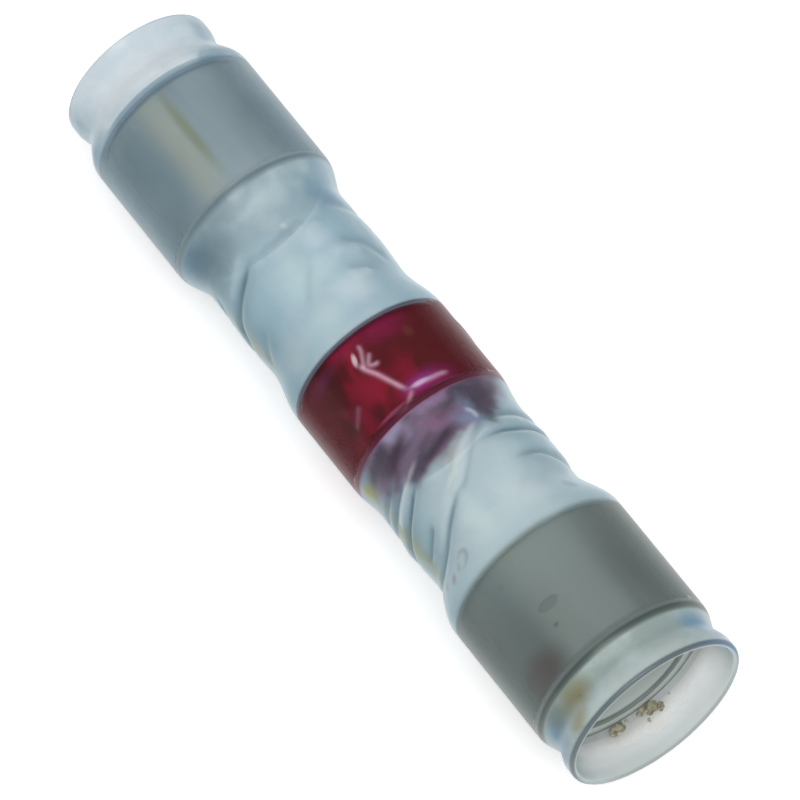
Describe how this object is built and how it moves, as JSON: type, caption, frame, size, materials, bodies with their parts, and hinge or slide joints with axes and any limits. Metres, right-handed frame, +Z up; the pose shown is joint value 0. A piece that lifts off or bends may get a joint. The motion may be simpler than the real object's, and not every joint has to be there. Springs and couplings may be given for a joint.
{
  "type": "solder sleeve",
  "caption": "Clear heat-shrink splice sleeve with sealing rings near its ends and a crimson fluxed solder ring in the middle, its necks wrinkled by shrinking.",
  "frame": {"origin": "on the surface that the sleeve lies on, under the middle of its length", "axes": "+X along the sleeve towards its wider front end, level; the sleeve's own axis rises 0.7 degrees towards that end. +Z up"},
  "size_m": [0.0401, 0.0092, 0.0091],
  "materials": {
    "film": "clear gloss with a pale blue tint",
    "front_ring": "smoky grey, slightly green, satin",
    "rear_ring": "smoky grey, satin",
    "solder": "glossy translucent crimson flux over solder"
  },
  "bodies": {
    "root": {"film_sleeve": "film", "front_sealing_ring": "front_ring", "rear_sealing_ring": "rear_ring", "solder_ring": "solder"}
  },
  "joints": []
}
